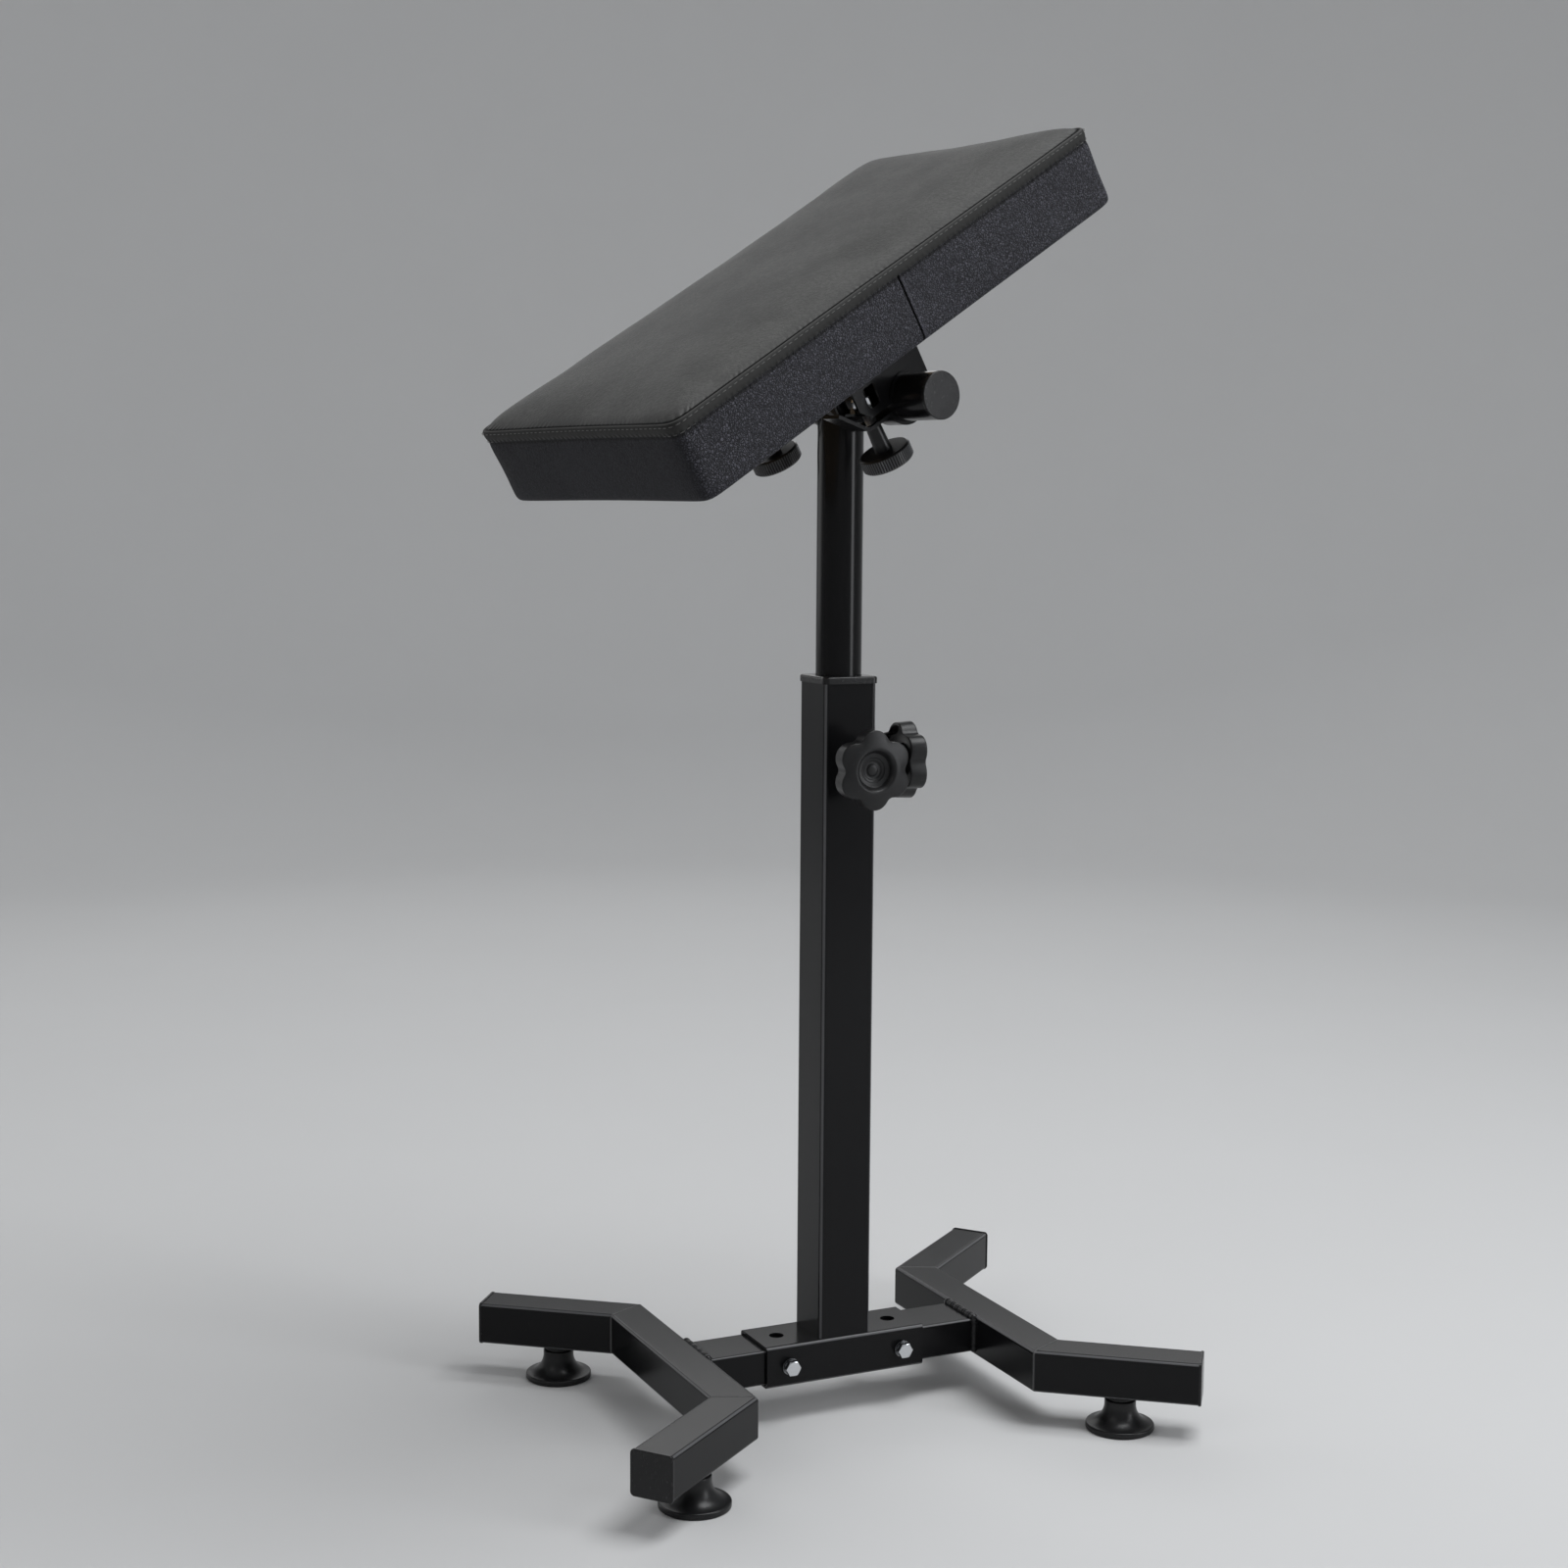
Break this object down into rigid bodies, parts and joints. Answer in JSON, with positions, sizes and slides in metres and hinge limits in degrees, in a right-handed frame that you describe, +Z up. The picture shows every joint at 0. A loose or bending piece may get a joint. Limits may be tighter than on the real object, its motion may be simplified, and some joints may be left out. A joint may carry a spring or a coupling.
{
  "type": "tattoo arm rest stand",
  "caption": "Free-standing arm rest: padded, tilting top clamped to a T bar on a height-adjustable post, with clamping knobs and a splayed tube base.",
  "frame": {"origin": "on the floor, under the column's axis, midway between the four feet", "axes": "+Z up; +X along the base sleeve towards the side clamping knob; -Y towards the front clamping knob"},
  "size_m": [0.4557, 0.3502, 0.8991],
  "materials": {
    "black_enamel": "gloss",
    "black_plastic": "satin",
    "grip_plastic": "satin",
    "zinc_plate": "satin",
    "leatherette": "satin",
    "plywood": "matte"
  },
  "bodies": {
    "base": {"base_sleeve": "black_enamel", "column_tube": "black_enamel", "column_collar": "black_plastic", "column_nuts": "black_enamel", "left_stub_tube": "black_enamel", "right_stub_tube": "black_enamel", "left_cross_tube": "black_enamel", "right_cross_tube": "black_enamel", "front_left_leg_tube": "black_enamel", "front_right_leg_tube": "black_enamel", "rear_left_leg_tube": "black_enamel", "rear_right_leg_tube": "black_enamel", "stub_welds": "black_enamel", "leg_end_caps": "black_plastic", "frame_bolts": "zinc_plate", "frame_washers": "zinc_plate", "frame_spring_washers": "zinc_plate", "frame_nuts": "zinc_plate", "foot_nuts": "zinc_plate"},
    "guide": {"guide_bush": "black_plastic"},
    "mast": {"post_tube": "black_enamel", "post_plug": "zinc_plate", "post_washer": "zinc_plate", "post_screw": "zinc_plate", "t_bar_tube": "black_enamel", "t_bar_weld": "black_enamel", "t_bar_plug_front": "black_plastic", "t_bar_plug_rear": "black_plastic"},
    "pad": {"pad_cushion": "leatherette", "pad_board": "plywood", "board_tee_nuts": "zinc_plate", "bracket_screws": "zinc_plate", "front_bar_bracket": "black_enamel", "rear_bar_bracket": "black_enamel", "front_grip_nut": "zinc_plate", "rear_grip_nut": "zinc_plate"},
    "front_left_foot_screw": {"front_left_foot_stud": "zinc_plate"},
    "front_left_foot": {"front_left_foot_glide": "black_plastic"},
    "front_right_foot_screw": {"front_right_foot_stud": "zinc_plate"},
    "front_right_foot": {"front_right_foot_glide": "black_plastic"},
    "rear_left_foot_screw": {"rear_left_foot_stud": "zinc_plate"},
    "rear_left_foot": {"rear_left_foot_glide": "black_plastic"},
    "rear_right_foot_screw": {"rear_right_foot_stud": "zinc_plate"},
    "rear_right_foot": {"rear_right_foot_glide": "black_plastic"},
    "front_clamp_screw": {"front_clamp_stud": "zinc_plate"},
    "front_clamp_grip": {"front_clamp_knob": "black_plastic"},
    "side_clamp_screw": {"side_clamp_stud": "zinc_plate"},
    "side_clamp_grip": {"side_clamp_knob": "black_plastic"},
    "front_grip_screw": {"front_grip_stud": "zinc_plate"},
    "front_grip": {"front_grip_knob": "grip_plastic"},
    "front_jaw": {"front_bar_jaw": "black_enamel"},
    "rear_grip_screw": {"rear_grip_stud": "zinc_plate"},
    "rear_grip": {"rear_grip_knob": "grip_plastic"},
    "rear_jaw": {"rear_bar_jaw": "black_enamel"}
  },
  "joints": [
    {"name": "post_height", "type": "slide", "parent": "base", "child": "guide", "axis": [0, 0, 1], "range_m": [-0.14, 0.125]},
    {"name": "post_swivel", "type": "hinge", "parent": "guide", "child": "mast", "pos_m": [0, 0, 0.715], "axis": [0, 0, 1], "continuous": true},
    {"name": "pad_tilt", "type": "hinge", "parent": "mast", "child": "pad", "pos_m": [0, 0, 0.715], "axis": [0.2233, -0.9748, 0], "range_deg": [-101, 38]},
    {"name": "front_left_foot_travel", "type": "slide", "parent": "base", "child": "front_left_foot_screw", "axis": [0, 0, -1], "range_m": [0, 0.01]},
    {"name": "front_left_foot_turn", "type": "hinge", "parent": "front_left_foot_screw", "child": "front_left_foot", "pos_m": [-0.16237, -0.12832, 0], "axis": [0, 0, -1], "range_deg": [0, 2880]},
    {"name": "front_right_foot_travel", "type": "slide", "parent": "base", "child": "front_right_foot_screw", "axis": [0, 0, -1], "range_m": [0, 0.01]},
    {"name": "front_right_foot_turn", "type": "hinge", "parent": "front_right_foot_screw", "child": "front_right_foot", "pos_m": [0.16237, -0.12832, 0], "axis": [0, 0, -1], "range_deg": [0, 2880]},
    {"name": "rear_left_foot_travel", "type": "slide", "parent": "base", "child": "rear_left_foot_screw", "axis": [0, 0, -1], "range_m": [0, 0.01]},
    {"name": "rear_left_foot_turn", "type": "hinge", "parent": "rear_left_foot_screw", "child": "rear_left_foot", "pos_m": [-0.16237, 0.12832, 0], "axis": [0, 0, -1], "range_deg": [0, 2880]},
    {"name": "rear_right_foot_travel", "type": "slide", "parent": "base", "child": "rear_right_foot_screw", "axis": [0, 0, -1], "range_m": [0, 0.01]},
    {"name": "rear_right_foot_turn", "type": "hinge", "parent": "rear_right_foot_screw", "child": "rear_right_foot", "pos_m": [0.16237, 0.12832, 0], "axis": [0, 0, -1], "range_deg": [0, 2880]},
    {"name": "front_clamp_travel", "type": "slide", "parent": "base", "child": "front_clamp_screw", "axis": [0, -1, 0], "range_m": [0, 0.00375]},
    {"name": "front_clamp_turn", "type": "hinge", "parent": "front_clamp_screw", "child": "front_clamp_grip", "pos_m": [0, 0, 0.464], "axis": [0, -1, 0], "range_deg": [0, 1080]},
    {"name": "side_clamp_travel", "type": "slide", "parent": "base", "child": "side_clamp_screw", "axis": [1, 0, 0], "range_m": [0, 0.00375]},
    {"name": "side_clamp_turn", "type": "hinge", "parent": "side_clamp_screw", "child": "side_clamp_grip", "pos_m": [0, 0, 0.464], "axis": [1, 0, 0], "range_deg": [0, 1080]},
    {"name": "front_grip_travel", "type": "slide", "parent": "pad", "child": "front_grip_screw", "axis": [0.5064, 0.116, -0.8545], "range_m": [0, 0.00125]},
    {"name": "front_grip_turn", "type": "hinge", "parent": "front_grip_screw", "child": "front_grip", "pos_m": [0.00671, -0.06002, 0.67104], "axis": [0.5064, 0.116, -0.8545], "range_deg": [0, 360]},
    {"name": "front_jaw_travel", "type": "slide", "parent": "pad", "child": "front_jaw", "axis": [0.5064, 0.116, -0.8545], "range_m": [0, 0.00125]},
    {"name": "rear_grip_travel", "type": "slide", "parent": "pad", "child": "rear_grip_screw", "axis": [0.5064, 0.116, -0.8545], "range_m": [0, 0.00125]},
    {"name": "rear_grip_turn", "type": "hinge", "parent": "rear_grip_screw", "child": "rear_grip", "pos_m": [-0.02008, 0.05695, 0.67104], "axis": [0.5064, 0.116, -0.8545], "range_deg": [0, 360]},
    {"name": "rear_jaw_travel", "type": "slide", "parent": "pad", "child": "rear_jaw", "axis": [0.5064, 0.116, -0.8545], "range_m": [0, 0.00125]}
  ],
  "couplings": [
    {"joint": "front_left_foot_turn", "follows": "front_left_foot_travel", "rad_per_m": 5026.5},
    {"joint": "front_right_foot_turn", "follows": "front_right_foot_travel", "rad_per_m": 5026.5},
    {"joint": "rear_left_foot_turn", "follows": "rear_left_foot_travel", "rad_per_m": 5026.5},
    {"joint": "rear_right_foot_turn", "follows": "rear_right_foot_travel", "rad_per_m": 5026.5},
    {"joint": "front_clamp_turn", "follows": "front_clamp_travel", "rad_per_m": 5026.5},
    {"joint": "side_clamp_turn", "follows": "side_clamp_travel", "rad_per_m": 5026.5},
    {"joint": "front_grip_turn", "follows": "front_grip_travel", "rad_per_m": 5026.5},
    {"joint": "front_jaw_travel", "follows": "front_grip_travel", "ratio": 1},
    {"joint": "rear_grip_turn", "follows": "rear_grip_travel", "rad_per_m": 5026.5},
    {"joint": "rear_jaw_travel", "follows": "rear_grip_travel", "ratio": 1}
  ]
}
